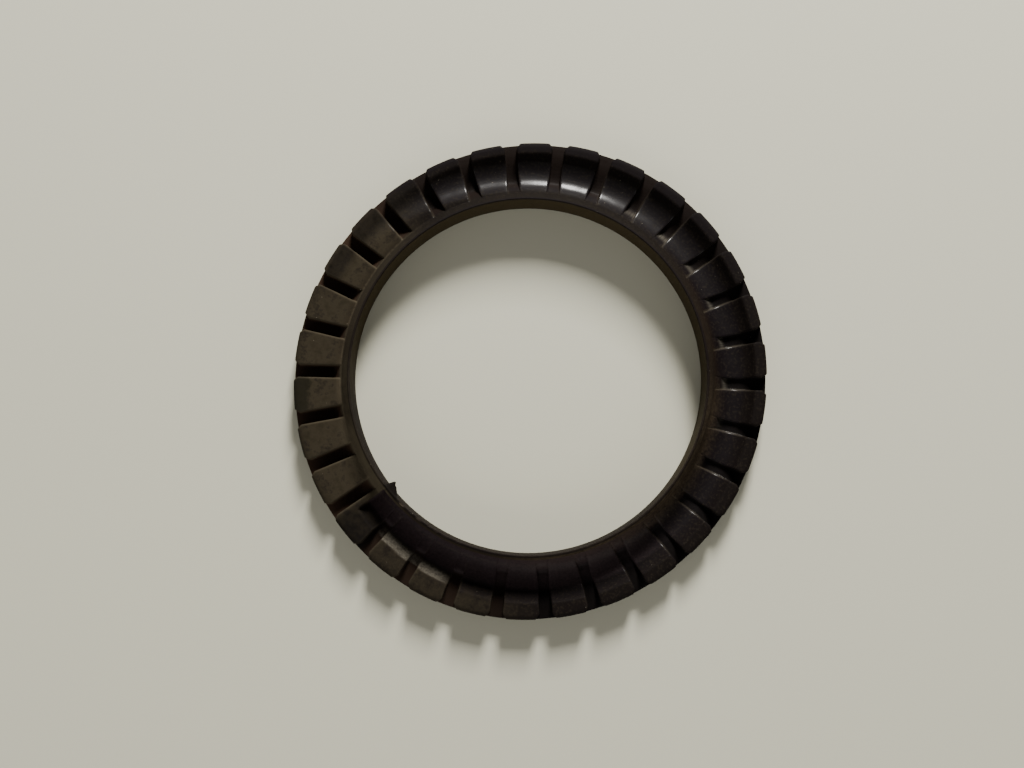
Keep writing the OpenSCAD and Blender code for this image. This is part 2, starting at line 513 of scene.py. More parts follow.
@dataclass
class RingSkin:
    """Closed grid over the whole ring."""

    ring: Ring  # Sizes of the ring
    seat: SpringSeat  # The spring seat
    slots: RadialSlots  # The radial slots
    wear: Wear  # The torn and worn places
    shape: OutOfRound  # How the blocks have spread
    edge_soft: float = 0.3  # Rounding where a slot cuts a block's top
    edge_drop: float = 0.22  # How far a block's top is worn down along a slot
    edge_w: float = 0.6  # Width of that worn edge
    seat_soft: float = 0.8  # Rounding of the seat's edges
    foot_soft: float = 0.9  # Rounding at the foot of a slot's sides
    shelf_soft: float = 0.25  # Rounding at the shelf's corners
    block_lanes: int = 6  # Columns across the inside of a block
    torn_lanes: int = 18  # The same beside the stop, where the lip is torn
    # What each point is part of, by name, once the points are worked out
    masks: dict[str, Array] = field(default_factory=dict)

    def __post_init__(self) -> None:
        """Works out the columns."""
        half_foot = self.slots.foot_w / 2.0
        half_shelf = self.slots.shelf_foot_w / 2.0
        shelf_top = half_shelf + self.slots.shelf_flare / 2.0 * self.slots.shelf_depth
        self.offsets = np.concatenate(
            [
                [0.0, 0.7, 1.2],
                np.linspace(half_foot - 0.12, half_shelf, 4),
                [(half_shelf + shelf_top) / 2.0, shelf_top],
                shelf_top + np.array([0.12, 0.27, 0.5, 0.8]),
            ]
        )
        lanes = [lane for sector in range(self.slots.count) for lane in self._sector_lanes(sector)]
        self.slot_of, self.offset, self.share, self.sector = (np.array(values) for values in zip(*lanes))
        self.inner = self.share >= 0.0

    @property
    def stop_sector(self) -> int:
        """Number of the block that the stop is in."""
        return int(self.seat.stop_angle // self.slots.step)

    def _inner_shares(self, sector: int) -> Array:
        """Shares across the inside of one block.

        Args:
            sector: Number of the block, counted from +X.

        Returns:
            Shares, close together on both sides of the stop.
        """
        if sector == self.stop_sector:
            return np.concatenate([np.linspace(0.07, 0.475, 5), np.linspace(0.525, 0.985, self.torn_lanes)])
        torn = 0 < sector - self.stop_sector < 3
        return np.linspace(0.0, 1.0, (self.torn_lanes if torn else self.block_lanes) + 2)[1:-1]

    def _sector_lanes(self, sector: int) -> list[Lane]:
        """Columns from one slot's middle to the next.

        Args:
            sector: Number of the first slot.

        Returns:
            The columns, in order.
        """
        after = (sector + 1) % self.slots.count
        lanes = [Lane(sector, float(y), -1.0, sector) for y in self.offsets]
        for share in self._inner_shares(sector):
            lanes.append(Lane(sector if share < 0.5 else after, 0.0, float(share), sector))
        lanes += [Lane(after, -float(y), -1.0, sector) for y in self.offsets[:0:-1]]
        return lanes

    def _turned(self, offset: Array, radius: Array) -> Array:
        """Angle of a line beside a slot from the slot's middle, spread where the corners are cut.

        Args:
            offset: Distances from the slot's middle line.
            radius: Radii of the points.

        Returns:
            The angles.
        """
        past = np.clip(radius - self.slots.corner_start(self.ring.ring_r), 0.0, None)
        beyond = np.clip(np.abs(offset) / (self.slots.shelf_foot_w / 2.0), 0.0, 1.0)
        moved = offset + np.sign(offset) * self.slots.corner_slope * past * beyond
        return np.degrees(np.arcsin(np.clip(moved / radius, -1.0, 1.0)))

    def angles(self, radius: Array) -> Array:
        """Angle of each column at one row's radii.

        Args:
            radius: Radius at each column.

        Returns:
            The angles.
        """
        past = self._turned(np.full_like(radius, self.offsets[-1]), radius)
        start = self.sector * self.slots.step + past
        end = (self.sector + 1) * self.slots.step - past
        middle = np.where(self.sector == self.stop_sector, self.seat.stop_angle, (start + end) / 2.0)
        first_half = start + (middle - start) * self.share * 2.0
        second_half = middle + (end - middle) * (self.share * 2.0 - 1.0)
        last = (self.slot_of == 0) & (self.sector == self.slots.count - 1)
        beside = np.where(last, self.slots.count, self.slot_of) * self.slots.step
        sides = beside + self._turned(self.offset, radius)
        return np.where(self.inner, np.where(self.share < 0.5, first_half, second_half), sides)

    def _away(self, radius: Array, angle: Array) -> Array:
        """Distance of each point from its nearest slot's middle, without the cut corners.

        Args:
            radius: Radii of the points.
            angle: Angles of the points.

        Returns:
            The distances.
        """
        half = self.slots.step / 2.0
        far = np.abs(np.sin(np.radians(np.mod(angle + half, self.slots.step) - half))) * radius
        return np.where(self.inner, np.maximum(far, self.offsets[-1] + 0.1), np.abs(self.offset))

    def _slot_floor(self, radius: Array, start: Array) -> tuple[Array, Array]:
        """Height of the slots' floors.

        Args:
            radius: Radii of the points.
            start: Radius where each slot starts.

        Returns:
            Heights of the level floor alone, and with the ramp at its inner end.
        """
        ring, slots = self.ring, self.slots
        rise_from = ring.ring_r - slots.shelf_w - slots.well_w
        risen = ease((radius - rise_from) / slots.level_w)
        level = ring.face_h - slots.well_depth + slots.well_drop * risen
        ramp = ring.face_h - slots.ramp * (radius - start)
        return level, soft_max(ramp, level, slots.ramp_soft)

    def _slot_cut(
        self, radius: Array, angle: Array, skin: Array
    ) -> tuple[Array, Array]:
        """Height of the slots' floors and sides.

        Args:
            radius: Radii of the points.
            angle: Angles of the points.
            skin: Heights of the blocks, the seat and the collar.

        Returns:
            Heights, which are far above the ring where there is no slot, and distances past a slot's edge.
        """
        ring, seat, slots = self.ring, self.seat, self.slots
        run = self.slot_of * slots.step - seat.stop_angle
        run = np.clip(np.where(run < -slots.step / 2.0, run + TURN, run), 0.0, None)
        start = np.maximum(ring.keep_r, np.minimum(ring.foot_r, seat.inner_r(run)) + slots.clear)
        start = np.where(run < slots.closed_run, seat.centre(run) + slots.closed_past, start)
        level, floor = self._slot_floor(radius, start)
        away = self._away(radius, angle)
        steep = 2.0 * slots.foot_drop / (slots.face_w - slots.foot_w)
        side = ring.face_h - slots.foot_drop + (away - slots.foot_w / 2.0) * steep
        cut = np.where(radius >= start, soft_max(floor, side, self.foot_soft), seat.far_above)
        steep = 2.0 / slots.shelf_flare
        side = ring.face_h - slots.shelf_depth + (away - slots.shelf_foot_w / 2.0) * steep
        shelf = soft_max(level, side, self.shelf_soft)
        on_shelf = radius >= ring.ring_r - slots.shelf_w
        past = away - slots.half_width(skin - ring.face_h, on_shelf)
        return np.where(on_shelf, shelf, cut), np.where(radius >= start, past, slots.face_w)

    def top(self, radius: Array, angle: Array) -> tuple[Array, dict[str, Array]]:
        """Height of the ring's upper side, and what each point is part of.

        Args:
            radius: Radii of the points.
            angle: Angles of the points.

        Returns:
            Heights, and masks by name.
        """
        ring, seat = self.ring, self.seat
        run = seat.run(angle)
        body = ring.height(radius) - self.wear.crack(radius, angle, ring)
        body = soft_min(body, ring.top_h - self.wear.lip_loss(radius, angle, ring.mouth_r), 0.3)
        bed = np.where(radius > ring.keep_r, seat.surface(radius, run), seat.far_above)
        skin = soft_min(body, bed, self.seat_soft)
        cut, past = self._slot_cut(radius, angle, skin)
        worn = np.clip(1.0 - np.abs(past) / self.edge_w, 0.0, 1.0)
        height = soft_min(skin - self.edge_drop * worn * worn, cut, self.edge_soft)
        sunk = np.clip(skin - self.edge_drop - height, 0.0, None)
        # Edges that face the lamp, for the painted highlight and the polish along them
        sunlit = np.clip(-np.sign(self.offset) * np.cos(np.radians(angle)), 0.0, 1.0)
        rubbed = ease((body - bed) / 0.7 + 0.15) * ease((seat.centre(run) + 3.9 - radius) / 1.6)
        return height, {
            "seat": rubbed,
            "slot": ease(sunk / 1.6),
            "edge": worn,
            "lit_edge": worn * sunlit,
            "bank": ease((body - bed) / 0.5) * ease((radius - seat.centre(run) - 3.2) / 1.2),
        }

    def _rows(self) -> list[Row]:
        """Lays out the rows round the section.

        Returns:
            The rows, in order.
        """
        ring = self.ring
        nub_z = ring.face_h + ring.collar_rise / 4.0
        nub_top = nub_z + ring.collar_rise / 2.0
        heights = [ring.back_round, ring.face_h / 2.0, ring.face_h - 0.3, ring.face_h + 0.5, nub_z - 0.15]
        heights += [*np.linspace(nub_z + 0.2, nub_top, 7), *np.linspace(nub_top + 0.35, ring.top_h - 0.15, 3)]
        start = self.slots.corner_start(ring.ring_r)
        shelf_in = ring.ring_r - self.slots.shelf_w
        radii = np.concatenate(
            [
                np.linspace(ring.lip_r + 0.12, ring.keep_r - 0.06, 5),
                np.linspace(ring.keep_r + 0.06, ring.foot_r + 0.3, 9),
                np.linspace(ring.foot_r + 0.6, shelf_in - 4.3, 12),
                np.linspace(shelf_in - 3.9, shelf_in - 0.35, 10),
                [shelf_in - 0.12, shelf_in - 0.02, shelf_in + 0.02, shelf_in + 0.15],
                np.linspace(shelf_in + 0.5, start, 10),
            ]
        )
        rows = [Row(Band.BORE, float(z)) for z in heights]
        rows += [Row(Band.LIP, share) for share in (0.12, 0.5, 0.88)]
        rows += [Row(Band.TOP, float(r)) for r in radii]
        rows += [Row(Band.RIM, float(share)) for share in np.linspace(0.2, 1.0, 5)]
        rows += [Row(Band.WALL, share) for share in (0.33, 0.67, 1.0)]
        bend = np.radians([30.0, 60.0, 90.0])
        inset = ring.back_round * (1.0 - np.cos(bend))
        lift = ring.back_round * (1.0 - np.sin(bend))
        rows += [Row(Band.BACK, ring.ring_r - i, z) for i, z in zip(inset, lift)]
        rows += [Row(Band.BACK, float(r)) for r in np.linspace(ring.ring_r, ring.bore_r, 5)[1:-1]]
        rows += [Row(Band.BACK, ring.bore_r + i, z) for i, z in zip(inset[::-1], lift[::-1])]
        return rows

    def _bore_row(self, row: Row) -> tuple[Array, Array, Array, dict]:
        """Places one row on the bore's wall.

        Args:
            row: The row.

        Returns:
            Radii, angles, heights and masks.
        """
        ring = self.ring
        radius = np.full(len(self.offset), ring.bore_r)
        angle = self.angles(radius)
        lost = self.wear.lip_loss(np.full_like(radius, ring.mouth_r), angle, ring.mouth_r)
        share = ease((row.place - ring.face_h) / ring.collar_rise)
        lowered = np.minimum(row.place, ring.top_h - 0.12 - lost)
        height = np.where(row.place < ring.face_h + 1.0, row.place, lowered)
        radius = ring.wall_r(height) + lost * 0.25 * share - self.wear.nub(angle, height, ring)
        return radius, angle, height, {"bore": np.ones_like(radius)}

    def _lip_row(self, row: Row) -> tuple[Array, Array, Array, dict]:
        """Places one row on the collar's land.

        Args:
            row: The row.

        Returns:
            Radii, angles, heights and masks.
        """
        ring = self.ring
        radius = np.full(len(self.offset), ring.mouth_r + (ring.lip_r - ring.mouth_r) * row.place)
        angle = self.angles(radius)
        lost = self.wear.lip_loss(radius, angle, ring.mouth_r)
        height = ring.top_h - lost - 0.12 * abs(row.place - 0.5)
        return radius + lost * 0.22, angle, height, {}

    def _outer_row(self, row: Row, rounding: Array) -> tuple[Array, Array, Array, dict]:
        """Places one row on the rim's rounding or on the outer wall.

        Args:
            row: The row.
            rounding: Rounding of the rim at each column.

        Returns:
            Radii, angles, heights and masks.
        """
        ring = self.ring
        bend = math.pi / 2.0 * (row.place if row.band is Band.RIM else 1.0)
        radius = ring.ring_r - rounding * (1.0 - math.sin(bend))
        angle = self.angles(radius)
        height, masks = self.top(radius, angle)
        height = height - rounding * (1.0 - math.cos(bend))
        if row.band is Band.RIM:
            return radius, angle, height, masks
        return radius, angle, height + (ring.back_round - height) * row.place, {}

    def points(self) -> Array:
        """Works out every point and its masks.

        Returns:
            Points by row and column.
        """
        ring = self.ring
        wide = len(self.offset)
        start_r = np.full(wide, self.slots.corner_start(ring.ring_r))
        rim_z = self.top(start_r, self.angles(start_r))[0]
        share = np.clip((rim_z - ring.face_h + self.slots.shelf_depth) / self.slots.shelf_depth, 0.0, 1.0)
        rounding = ring.notch_round + (ring.face_round - ring.notch_round) * share
        grid, found = [], []
        for row in self._rows():
            if row.band is Band.BORE:
                radius, angle, height, masks = self._bore_row(row)
            elif row.band is Band.LIP:
                radius, angle, height, masks = self._lip_row(row)
            elif row.band is Band.TOP:
                radius = np.full(wide, row.place)
                angle = self.angles(radius)
                height, masks = self.top(radius, angle)
            elif row.band in (Band.RIM, Band.WALL):
                radius, angle, height, masks = self._outer_row(row, rounding)
            else:
                radius, height, masks = np.full(wide, row.place), np.full(wide, row.height), {}
                angle = self.angles(radius)
            turn = np.radians(angle)
            radius = radius + self.shape.at(radius, angle, ring)
            grid.append(np.stack([radius * np.cos(turn), radius * np.sin(turn), height], axis=-1))
            found.append(masks)
        for name in MASKS:
            self.masks[name] = np.concatenate([masks.get(name, np.zeros(wide)) for masks in found])
        return np.stack(grid)

    def build(self, name: str) -> bpy.types.Object:
        """Makes the mesh object.

        Args:
            name: Name of the piece.

        Returns:
            The object, with its place in its mesh.
        """
        grid = self.points()
        tall, wide = grid.shape[:2]
        points = grid.reshape(-1, 3)
        uneven = Ripple(7.0, 0.035, 11).at(points) + Ripple(2.2, 0.014, 12).at(points)
        free = (points[:, 2] > 1.0) & (points[:, 2] < self.ring.top_h - 0.2)
        points[:, 2] += np.where(free, uneven, 0.0)
        row, col = np.meshgrid(np.arange(tall), np.arange(wide), indexing="ij")
        below, beside = (row + 1) % tall, (col + 1) % wide
        corners = [row * wide + col, row * wide + beside, below * wide + beside, below * wide + col]
        faces = np.stack(corners, axis=-1).reshape(-1, 4)
        mesh = bpy.data.meshes.new(name)
        mesh.from_pydata((points / METRE).tolist(), [], faces.tolist())
        mesh.update()
        for mask, values in self.masks.items():
            layer = mesh.attributes.new(mask, "FLOAT", "POINT")
            layer.data.foreach_set("value", values.astype(np.float32))
        mesh.polygons.foreach_set("use_smooth", np.ones(len(mesh.polygons), bool))
        piece = bpy.data.objects.new(name, mesh)
        bpy.context.scene.collection.objects.link(piece)
        return piece


class Signal:
    """A value socket whose arithmetic adds Math nodes."""

    def __init__(self, tree: "ShaderTree", socket: bpy.types.NodeSocket) -> None:
        """Wraps a socket."""
        self.tree, self.socket = tree, socket

    def _math(self, operation: str, *values: "Signal | float") -> "Signal":
        """Adds one Math node."""
        return self.tree.node("ShaderNodeMath", {"operation": operation}, dict(enumerate(values)))

    def __add__(self, other: "Signal | float") -> "Signal":
        """Adds a value or a signal."""
        return self._math("ADD", self, other)

    __radd__ = __add__

    def __sub__(self, other: "Signal | float") -> "Signal":
        """Subtracts a value or a signal."""
        return self._math("SUBTRACT", self, other)

    def __rsub__(self, other: "Signal | float") -> "Signal":
        """Subtracts the signal from a value."""
        return self._math("SUBTRACT", other, self)

    def __mul__(self, other: "Signal | float") -> "Signal":
        """Multiplies by a value or a signal."""
        return self._math("MULTIPLY", self, other)

    __rmul__ = __mul__

    def peak(self, other: "Signal | float") -> "Signal":
        """Takes the higher of two values."""
        return self._math("MAXIMUM", self, other)

    def between(self, low: float, high: float) -> "Signal":
        """Eased share of the way from low, which gives 0, to high, which gives 1 and may be the lower."""
        limits = {"Value": self, "From Min": low, "From Max": high}
        return self.tree.node("ShaderNodeMapRange", {"interpolation_type": "SMOOTHSTEP"}, limits)


class ShaderTree:
    """Node tree of one material."""

    def __init__(self, name: str) -> None:
        """Makes an empty material.

        Args:
            name: Name of the material.
        """
        self.material = bpy.data.materials.new(name)
        self.material.use_nodes = True
        self.tree = self.material.node_tree
        self.tree.nodes.clear()

    def node(
        self, kind: str, settings: dict | None = None, inputs: dict | None = None, output: int | str = 0
    ) -> Signal:
        """Adds one node.

        Args:
            kind: Blender's name of the node type.
            settings: Properties, set before the sockets.
            inputs: Values or signals by socket name or number.
            output: Name or number of the output socket.

        Returns:
            The output socket.
        """
        made = self.tree.nodes.new(kind)
        for name, value in (settings or {}).items():
            setattr(made, name, value)
        self._feed(made, inputs or {})
        return Signal(self, made.outputs[output])

    def _feed(self, made: bpy.types.Node, inputs: dict) -> None:
        """Sets or links a node's inputs.

        Args:
            made: The node.
            inputs: Values or signals by socket name or number.
        """
        for key, value in inputs.items():
            if isinstance(value, Signal):
                self.tree.links.new(value.socket, made.inputs[key])
            else:
                made.inputs[key].default_value = value

    def close(self, shader: Signal) -> bpy.types.Material:
        """Links a shader to the material's output."""
        self._feed(self.tree.nodes.new("ShaderNodeOutputMaterial"), {"Surface": shader})
        return self.material

    def mix(self, share: Signal | float, under: Signal | tuple, over: Signal | tuple) -> Signal:
        """Mixes two colours."""
        return self.node("ShaderNodeMix", {"data_type": "RGBA"}, {0: share, 6: under, 7: over}, 2)

    def vector(self, operation: str, inputs: dict, output: str = "Vector") -> Signal:
        """Adds one Vector Math node."""
        return self.node("ShaderNodeVectorMath", {"operation": operation}, inputs, output)

    def attribute(self, name: str) -> Signal:
        """Reads a mask of the mesh."""
        return self.node("ShaderNodeAttribute", {"attribute_name": name}, output="Fac")

    def noise(self, where: Signal, scale: float, detail: float = 3.0, rough: float = 0.55) -> Signal:
        """Smooth noise."""
        inputs = {"Vector": where, "Scale": scale, "Detail": detail, "Roughness": rough}
        return self.node("ShaderNodeTexNoise", None, inputs)


def colour(red: int, green: int, blue: int) -> tuple[float, float, float, float]:
    """Colour as Blender takes it."""
    return (*(math.pow(c / 255.0, 2.2) for c in (red, green, blue)), 1.0)


class Place:
    """Where a point of the ring lies, as signals of one material."""

    def __init__(self, tree: ShaderTree) -> None:
        """Adds the nodes.

        Args:
            tree: The material's tree.
        """
        self.tree = tree
        where = tree.node("ShaderNodeTexCoord", output="Object")
        self.mm = tree.vector("SCALE", {0: where, "Scale": METRE})
        flat = tree.vector("MULTIPLY", {0: self.mm, 1: (1.0, 1.0, 0.0)})
        self.radius = tree.vector("LENGTH", {0: flat}, "Value")
        self.unit = tree.vector("NORMALIZE", {0: flat})
        self.height = tree.node("ShaderNodeSeparateXYZ", None, {0: self.mm}, "Z")

    def around(self, angle: float, full: float, none: float) -> Signal:
        """Share that falls off to both sides of an angle.

        Args:
            angle: The middle angle.
            full: Angle to either side within which the share is 1.
            none: Angle to either side beyond which it is 0.

        Returns:
            A value from 0 to 1.
        """
        turn = math.radians(angle)
        way = (math.cos(turn), math.sin(turn), 0.0)
        toward = self.tree.vector("DOT_PRODUCT", {0: self.unit, 1: way}, "Value")
        return toward.between(math.cos(math.radians(none)), math.cos(math.radians(full)))

    def streaks(self, along: float, across: float) -> Signal:
        """Noise drawn out round the ring.

        Args:
            along: Waves per radian round the ring.
            across: Waves per millimetre of radius and height.

        Returns:
            A value about 0.5.
        """
        depth = (self.radius + self.height * 0.7) * across
        depth = self.tree.node("ShaderNodeCombineXYZ", None, {"Z": depth})
        drawn = self.tree.vector("MULTIPLY_ADD", {0: self.unit, 1: (along, along, 0.0), 2: depth})
        return self.tree.noise(drawn, 1.0, 4.0, 0.6)


class Tint(Enum):
    """Colours of the old rubber, some of them painted light and shade."""

    DARK = colour(20, 15, 13)  # Rubber of the faces that stayed clean
    CLEAN_AND_SHADE = colour(19, 14, 16)  # Black rubber of the rubbed seat; also painted shade on the lamp side's rim, in the collar's shadow and on the bore's lower side
    SUNK = colour(52, 40, 32)  # Dirt inside the slots of the dusty side, partly painted light on their shaded floors
    SLOT_SHADE = colour(13, 8, 6)  # Painted shade inside the slots on the clean side
    SEAT_SHEEN = colour(57, 47, 49)  # Painted sheen: light from below reflected on the seat beside the stop
    SCUFF_AND_GLINT = colour(118, 113, 102)  # Scuffed inner ends of the slots, and painted highlights on them and on the seat's outer bank
    BLOOM = colour(74, 64, 51)  # Bloom at the collar's foot on the shaded side
    SMUDGE_AND_SHADE = colour(20, 17, 14)  # Dirt on the block that the stop is in; also painted shade on the collar's lamp side and a painted shadow where the seat starts
    GRIMY = colour(33, 30, 22)  # Dark smears on dusty faces
    DUSTY = colour(50, 45, 36)  # Dust on the faces
    PALE = colour(84, 77, 63)  # Dust that has gathered along edges; also painted highlights on the edges that face the lamp and painted light beside the collar at 209 degrees
    BROWN = colour(37, 29, 21)  # Bloom on the collar's slope
    OLIVE = colour(60, 52, 35)  # Bloom in the bore
    STAIN = colour(27, 26, 19)  # Old wet stain
    SPECK = colour(150, 142, 125)  # Pale specks


@dataclass(frozen=True)
class Mark:
    """A patch of one colour on the rubber."""

    tint: Tint  # Its colour
    share: float  # Share of the colour where the patch is whole and the dirt is even
    # Middle angle, angle to either side within which it is whole, and beyond which it is gone
    arc: tuple[float, float, float] | None = None
    # Fades over the radius, each from where there is none of it to where it is whole
    radii: tuple[tuple[float, float], ...] = ()
    broken: tuple[tuple[str, float], ...] = ()  # Noise that breaks it up, each with its weight
    on: tuple[str, ...] = ()  # Masks that it keeps to
    off: tuple[str, ...] = ()  # Masks that it keeps out of


class Layers:
    """Colours laid over one another in one material."""

    def __init__(self, at: Place, signs: dict[str, Signal], first: Signal) -> None:
        """Starts with the lowest colour."""
        self.at, self.signs, self.skin = at, signs, first

    def lay(self, share: Signal | float, tint: Tint | Signal) -> None:
        """Lays a share of one colour on top."""
        over = tint.value if isinstance(tint, Tint) else tint
        self.skin = self.at.tree.mix(share, self.skin, over)

    def mark(self, marks: tuple[Mark, ...]) -> None:
        """Lays marks on top, in their order.

        Args:
            marks: The marks.
        """
        for mark in marks:
            share = mark.share
            for name, weight in mark.broken:
                share = share + weight * (self.signs[name] - EVEN)
            if mark.arc:
                share = share * self.at.around(*mark.arc)
            for fade in mark.radii:
                share = share * self.at.radius.between(*fade)
            for name in mark.on:
                share = share * self.signs[name]
            for name in mark.off:
                share = share * (1.0 - self.signs[name])
            self.lay(share, mark.tint)


@dataclass(frozen=True)
class AgedRubber:
    """Finish of the old rubber, with some light and shade painted into its colour.

    Each arc is a middle angle, the angle to either side within which it is whole, and the angle beyond
    which it is gone.
    """

    dust_arc: tuple = (178.0, 36.0, 56.0)  # Side where the dust lies
    stop_dust_arc: tuple = (236.0, 10.0, 40.0)  # Where a little dust lies beside the stop
    lit_arc: tuple = (90.0, 25.0, 80.0)  # Side that faces the window lamp; colour keyed to it is painted light and shade
    left_arc: tuple = (202.0, 12.0, 32.0)  # Where dust has gathered on the collar
    unrubbed_arc: tuple = (134.0, 10.0, 18.0)  # Where the seat runs out under dirt
    shade_arc: tuple = (252.0, 55.0, 92.0)  # Part of the bore darkened with painted shade
    stain_arc: tuple = (186.0, 4.2, 5.6)  # The stained block
    dull_arc: tuple = (134.0, 9.0, 20.0)  # Where the seat has lost its gloss
    polished_arc: tuple = (80.0, 24.0, 62.0)  # Where the spring has polished the seat
    scuffed_arc: tuple = (36.0, 30.0, 56.0)  # Where it has polished the slots' inner ends too
    # Marks that the slots' dirt and painted shade cover
    under_marks: tuple[Mark, ...] = (
        # Painted light: a pale patch on the faces' inner ends that lifts the collar's cast shadow
        Mark(Tint.PALE, 0.4, (209.0, 6.0, 16.0), ((63.5, 60.5),), off=("seat",)),
        # Painted shade: the collar's slope darkened on the side that faces the lamp
        Mark(Tint.SMUDGE_AND_SHADE, 0.6, on=("collar", "lit")),
        # Painted shadow: the collar's shadow carried further out over the lower blocks
        Mark(Tint.CLEAN_AND_SHADE, 0.7, (298.0, 36.0, 58.0), ((72.8, 69.5), (64.0, 67.0))),
        Mark(
            Tint.BLOOM, 0.45, (312.0, 34.0, 54.0), ((64.5, 58.5),),
            (("grain", 1.8), ("patch", 0.8)), off=("bore", "slot"),
        ),
        Mark(Tint.SMUDGE_AND_SHADE, 0.7, (140.0, 12.0, 22.0), ((66.5, 70.0), (74.0, 72.6)), (("patch", 1.2),)),
        Mark(Tint.DUSTY, 0.3, on=("mottle",), off=("side", "slot")),
        # Painted shade: the rim darkened on the side that faces the lamp
        Mark(Tint.CLEAN_AND_SHADE, 0.8, radii=((72.5, 74.5),), on=("lit",)),
        # Painted sheen on the seat beside the stop, broken up by noise
        Mark(Tint.SEAT_SHEEN, 0.7, (246.0, 38.0, 76.0), broken=(("grain", 1.2),), on=("seat",)),
        # Painted shade on the bore's lower side
        Mark(Tint.CLEAN_AND_SHADE, 1.0, on=("bore", "shade")),
    )
    # Marks that lie over it
    over_marks: tuple[Mark, ...] = (
        # Scuffed, ribbed inner ends of the slots, with a painted highlight on them
        Mark(Tint.SCUFF_AND_GLINT, 0.8, (26.0, 24.0, 44.0), broken=(("ribs", 2.0),), on=("ramp",)),
        Mark(Tint.PALE, 0.25, on=("foot", "side"), off=("slot",)),
        Mark(Tint.CLEAN_AND_SHADE, 0.7, on=("lip",)),
        Mark(Tint.STAIN, 0.75, on=("stain",), off=("slot",)),
        # Painted highlight on the seat's outer bank past the stop, over rubbed rubber
        Mark(Tint.SCUFF_AND_GLINT, 0.32, (238.5, 8.0, 13.0), broken=(("grain", 1.0),), on=("bank",)),
        # Painted shadow where the seat starts beside the stop
        Mark(Tint.SMUDGE_AND_SHADE, 0.8, (223.0, 3.2, 6.0), ((64.0, 66.0),), (("patch", -1.2),)),
        Mark(Tint.SMUDGE_AND_SHADE, 0.85, (222.0, 2.8, 3.4), ((57.4, 56.6),), on=("raised",)),
        Mark(Tint.PALE, 0.25, on=("edge", "side"), off=("seat",)),
    )

    def signs(self, at: Place, ring: Ring) -> dict[str, Signal]:
        """Masks and noise that the finish is made of.

        Args:
            at: Where each point lies.
            ring: Sizes of the ring.

        Returns:
            Signals by name.
        """
        t = at.tree
        s = {name: t.attribute(name) for name in MASKS}
        s["patch"] = t.noise(at.mm, 0.3, 4.0, 0.6)
        s["grain"] = t.noise(at.mm, 1.3, 4.0, 0.65)
        s["fine"] = t.noise(at.mm, 5.0, 2.0)
        s["streak"] = at.streaks(14.0, 1.6)
        s["ribs"] = t.noise(t.vector("SCALE", {0: at.unit, "Scale": 60.0}), 2.2, 2.0)
        s["side"] = at.around(*self.dust_arc).peak(0.5 * at.around(*self.stop_dust_arc))
        s["lit"] = at.around(*self.lit_arc)
        s["shade"] = at.around(*self.shade_arc)
        s["mottle"] = s["grain"].between(0.5, 0.66)
        s["raised"] = at.height.between(ring.face_h, ring.face_h + 1.0)
        s["lip"] = at.height.between(ring.top_h - 1.3, ring.top_h - 0.4)
        s["ramp"] = s["slot"] * at.radius.between(64.8, 61.2)
        collar = at.radius.between(ring.foot_r + 2.6, ring.foot_r - 0.3)
        s["collar"] = collar * at.height.between(ring.face_h - 3.6, ring.face_h + 0.4) * (1.0 - s["bore"])
        foot = at.radius.between(ring.foot_r - 0.35, ring.foot_r)
        foot = foot * at.radius.between(ring.foot_r + 0.7, ring.foot_r + 0.2)
        s["foot"] = foot * s["grain"].between(0.3, 0.6)
        ragged = at.radius + (s["patch"] - EVEN) * 7.0
        s["stain"] = at.around(*self.stain_arc) * ragged.between(69.4, 71.2)
        s["lit_edge"] = s["lit_edge"] * at.radius.between(74.0, 67.0) * (0.7 + 1.2 * (s["grain"] - EVEN))
        broken = 2.0 * (s["grain"] - EVEN) + 0.9 * (s["fine"] - EVEN)
        s["dust"] = s["side"] * (0.6 + broken + 0.7 * s["patch"].between(0.35, 0.6))
        return s

    def skin(self, at: Place, s: dict[str, Signal]) -> Signal:
        """Colour of the rubber, with painted light and shade laid in.

        Args:
            at: Where each point lies.
            s: Masks and noise by name.

        Returns:
            The colour.
        """
        t = at.tree
        bare = 1.0 - s["seat"]
        layers = Layers(at, s, t.mix(s["dust"], Tint.DARK.value, Tint.DUSTY.value))
        layers.lay(s["side"] * s["patch"].between(0.5, 0.72) * 0.45, Tint.GRIMY)
        ragged = at.radius + (s["patch"] - EVEN) * 5.0
        layers.lay(ragged.between(71.5, 74.5) * s["side"] * 0.35, Tint.GRIMY)
        rubbed = s["seat"] * (1.0 - 0.35 * s["streak"].between(0.5, 0.75))
        layers.lay(rubbed * (1.0 - 0.8 * at.around(*self.unrubbed_arc)), Tint.CLEAN_AND_SHADE)
        # Bloom on the collar's slope, held back on the lamp side as painted shade
        brown = s["collar"] * (0.6 + 0.9 * (s["streak"] - 0.45))
        layers.lay(brown * (1.0 - 0.75 * s["lit"]) * (1.0 - 0.5 * s["seat"] * s["side"]), Tint.BROWN)
        layers.lay(s["collar"] * s["side"] * bare * s["streak"], Tint.DUSTY)
        gathered = s["collar"] * at.around(*self.left_arc) * bare
        layers.lay(gathered * (0.35 + s["streak"] - EVEN), Tint.PALE)
        layers.mark(self.under_marks)
        # Olive bloom in the bore, held back on its lower side under the painted shade
        olive = s["bore"] * (0.65 + 0.7 * (s["streak"] - 0.45)) * (1.0 - 0.8 * s["shade"])
        layers.lay(olive, Tint.OLIVE)
        # Slots coloured by depth: painted shade on the clean side; dirt and painted light on the dusty side,
        # a little lighter toward the lamp
        slot_dirt_and_shade = t.mix(s["side"].peak(0.18 * s["lit"]), Tint.SLOT_SHADE.value, Tint.SUNK.value)
        layers.lay(s["slot"] * 0.9, slot_dirt_and_shade)
        layers.mark(self.over_marks)
